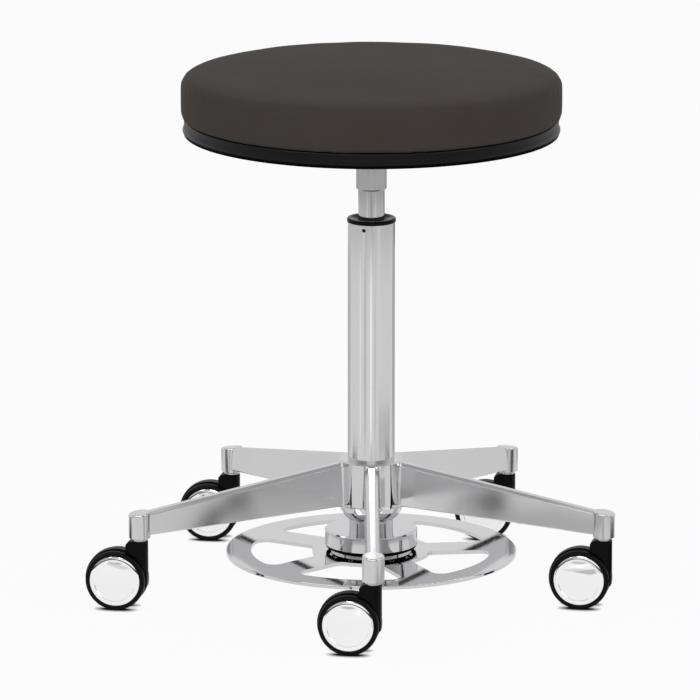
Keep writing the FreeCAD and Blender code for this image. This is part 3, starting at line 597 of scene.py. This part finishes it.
def buildPaintedReflectionCards():
    # Bright and dark cards that show only in the stool's metal, as streaks: painted reflections. The bright
    # ones paint bright streaks, and the dim ones close round the stool paint its shadow on the floor and dark
    # stripes into the metal.
    # Most lie on the floor round it, one lies a little higher, beside the foot ring, and one hangs under the
    # seat and faces down
    cards = [
        {"heading": -145, "width": 6, "near": 0.7, "far": 1.75, "glow": 1.12},
        {"heading": -120, "width": 10, "near": 0.7, "far": 1.75, "glow": 0.66},
        {"heading": -92, "width": 9, "near": 0.7, "far": 1.75, "glow": 1.3},
        {"heading": -72, "width": 8, "near": 0.7, "far": 1.5, "glow": 0.74},
        {"heading": -21, "width": 67, "near": 0.6, "far": 0.86, "glow": 0.66},
        {"heading": 62, "width": 54, "near": 0.6, "far": 1.75, "glow": 0.5},
        {"heading": 118, "width": 54, "near": 0.6, "far": 1.75, "glow": 0.58},
        {"heading": -80, "width": 12, "near": 0.37, "far": 0.56, "glow": 0.7},
        {"heading": -66, "width": 16, "near": 0.37, "far": 0.58, "glow": 0.5},
        {"heading": -62, "width": 36, "near": 0.14, "far": 0.31, "glow": 0.55, "lift": 0.062},
        {"heading": 178, "width": 22, "near": 0.31, "far": 0.62, "glow": 0.06},
        {"heading": -5, "width": 30, "near": 0.31, "far": 0.62, "glow": 0.06},
        {"heading": 0, "width": 360, "near": 0.022, "far": 0.21, "glow": 0.45, "lift": 0.455,
         "faceDown": True},
        {"heading": 0, "width": 360, "near": 1.76, "far": 2.05, "glow": 0.7},
        {"heading": 0, "width": 360, "near": 2.05, "far": 4.2, "glow": 0.45},
        {"heading": -126, "width": 16, "near": 1.76, "far": 2.05, "glow": 0.95, "lift": 0.003},
        {"heading": -90, "width": 14, "near": 1.76, "far": 2.3, "glow": 0.42, "lift": 0.003},
        {"heading": -54, "width": 16, "near": 1.76, "far": 2.05, "glow": 0.95, "lift": 0.003},
        {"heading": 70, "width": 50, "near": 1.76, "far": 2.3, "glow": 0.25, "lift": 0.003},
    ]
    floorLift = 0.002
    widestStep = 10  # degrees that one straight side may cover
    for number, card in enumerate(cards):
        steps = math.ceil(card["width"] / widestStep)
        z = card.get("lift", floorLift)
        corners = []
        for step in range(steps + 1):
            angle = math.radians(card["heading"] + card["width"] * (step / steps - 0.5))
            for reach in (card["near"], card["far"]):
                corners.append((reach * math.cos(angle), reach * math.sin(angle), z))
        faces = [(2 * step, 2 * step + 1, 2 * step + 3, 2 * step + 2) for step in range(steps)]
        if card.get("faceDown"):
            faces = [tuple(reversed(face)) for face in faces]
        mesh = bpy.data.meshes.new("paintedReflectionCard" + str(number))
        mesh.from_pydata(corners, [], faces)
        piece = newPiece(mesh.name, mesh)
        material, tree = newMaterial(mesh.name, {})[:2]
        glow = addNode(tree, "ShaderNodeEmission", {"Strength": card["glow"]})
        clear = addNode(tree, "ShaderNodeBsdfTransparent")
        behind = addNode(tree, "ShaderNodeNewGeometry").outputs["Backfacing"]
        oneSided = addNode(tree, "ShaderNodeMixShader", {},
                           {0: behind, 1: glow.outputs[0], 2: clear.outputs[0]})
        tree.links.new(oneSided.outputs[0], tree.nodes["Material Output"].inputs["Surface"])
        mesh.materials.append(material)
        for ray in ("camera", "diffuse", "shadow", "transmission"):
            setattr(piece, "visible_" + ray, False)


def buildWorld():
    # Pale behind the stool and over the camera, greyer at the sides and overhead, dark low behind the camera.
    # One set of greys lights the stool, the other is what its metal shows
    lighting = {"frontLow": "262628", "frontHigh": "d9d9d9", "side": "b4b4b6", "back": "c2c2c4",
                "top": "949496"}
    mirrored = {"frontLow": "48484a", "frontHigh": "f9f9f9", "side": "acacae", "back": "ececed",
                "top": "d1d1d2"}
    edges = {"low": (0.11, 0.2), "top": (0.5, 0.9), "camera": (-0.95, -0.85), "side": (-0.7, 0.2),
             "dark": (-0.5, 0.1)}
    background = "fbfbfb"
    world = bpy.data.worlds.new("studioWorld")
    world.use_nodes = True
    scene.world = world
    tree = world.node_tree
    direction = addNode(tree, "ShaderNodeTexCoord").outputs["Generated"]
    split = addNode(tree, "ShaderNodeSeparateXYZ", {}, {0: direction})
    shares = {}
    for edge, (start, end) in edges.items():
        axis = "Z" if edge in ("low", "top") else "Y"
        shares[edge] = addNode(tree, "ShaderNodeMapRange", {"From Min": start, "From Max": end},
                               {"Value": split.outputs[axis]}, interpolation_type="SMOOTHSTEP").outputs[0]

    def mixed(share, *sources):  # each source is a socket or a hex colour
        values = {6 + i: colour(source) for i, source in enumerate(sources) if isinstance(source, str)}
        links = {6 + i: source for i, source in enumerate(sources) if not isinstance(source, str)}
        return addNode(tree, "ShaderNodeMix", values, {0: share, **links}, data_type="RGBA").outputs[2]

    def dome(greys):
        sides = mixed(shares["side"], greys["side"], greys["back"])
        upper = mixed(shares["camera"], greys["frontHigh"], sides)
        lower = mixed(shares["dark"], greys["frontLow"], greys["back"])
        return mixed(shares["top"], mixed(shares["low"], lower, upper), greys["top"])

    seen = mixed(rayWeight(tree, {"Is Glossy Ray": 1.0}), dome(lighting), dome(mirrored))
    clear = rayWeight(tree, {"Is Camera Ray": 1.0, "Is Transmission Ray": 1.0})
    tree.links.new(mixed(clear, seen, background), tree.nodes["Background"].inputs["Color"])


def buildLamps():
    softboxes = {
        "keySoftbox": {"place": (-2.6, -2.4, 3.2), "size": (2.4, 2.4), "power": 34},
        "fillSoftbox": {"place": (3.0, -1.8, 2.6), "size": (2.0, 2.0), "power": 22},
        "topSoftbox": {"place": (0.2, 0.6, 3.6), "size": (2.6, 2.6), "power": 4},
        "backSoftbox": {"place": (0.0, 3.0, 3.4), "size": (1.4, 1.4), "power": 4},
        "frontStrip": {"place": (0.0, -3.5, 2.5), "size": (2.4, 0.9), "power": 24},
    }
    aim = Vector((0, 0, 0.3))
    for name, box in softboxes.items():
        lamp = bpy.data.lights.new(name, "AREA")
        lamp.energy = box["power"]
        lamp.shape = "RECTANGLE"
        lamp.size, lamp.size_y = box["size"]
        rig = newPiece(name, lamp)
        rig.location = box["place"]
        rig.rotation_euler = (aim - rig.location).to_track_quat("-Z", "Y").to_euler()


buildCamera()
buildFloor()
buildPaintedReflectionCards()
buildWorld()
buildLamps()
scene.view_settings.view_transform = "Standard"
print("camera and studio ready")
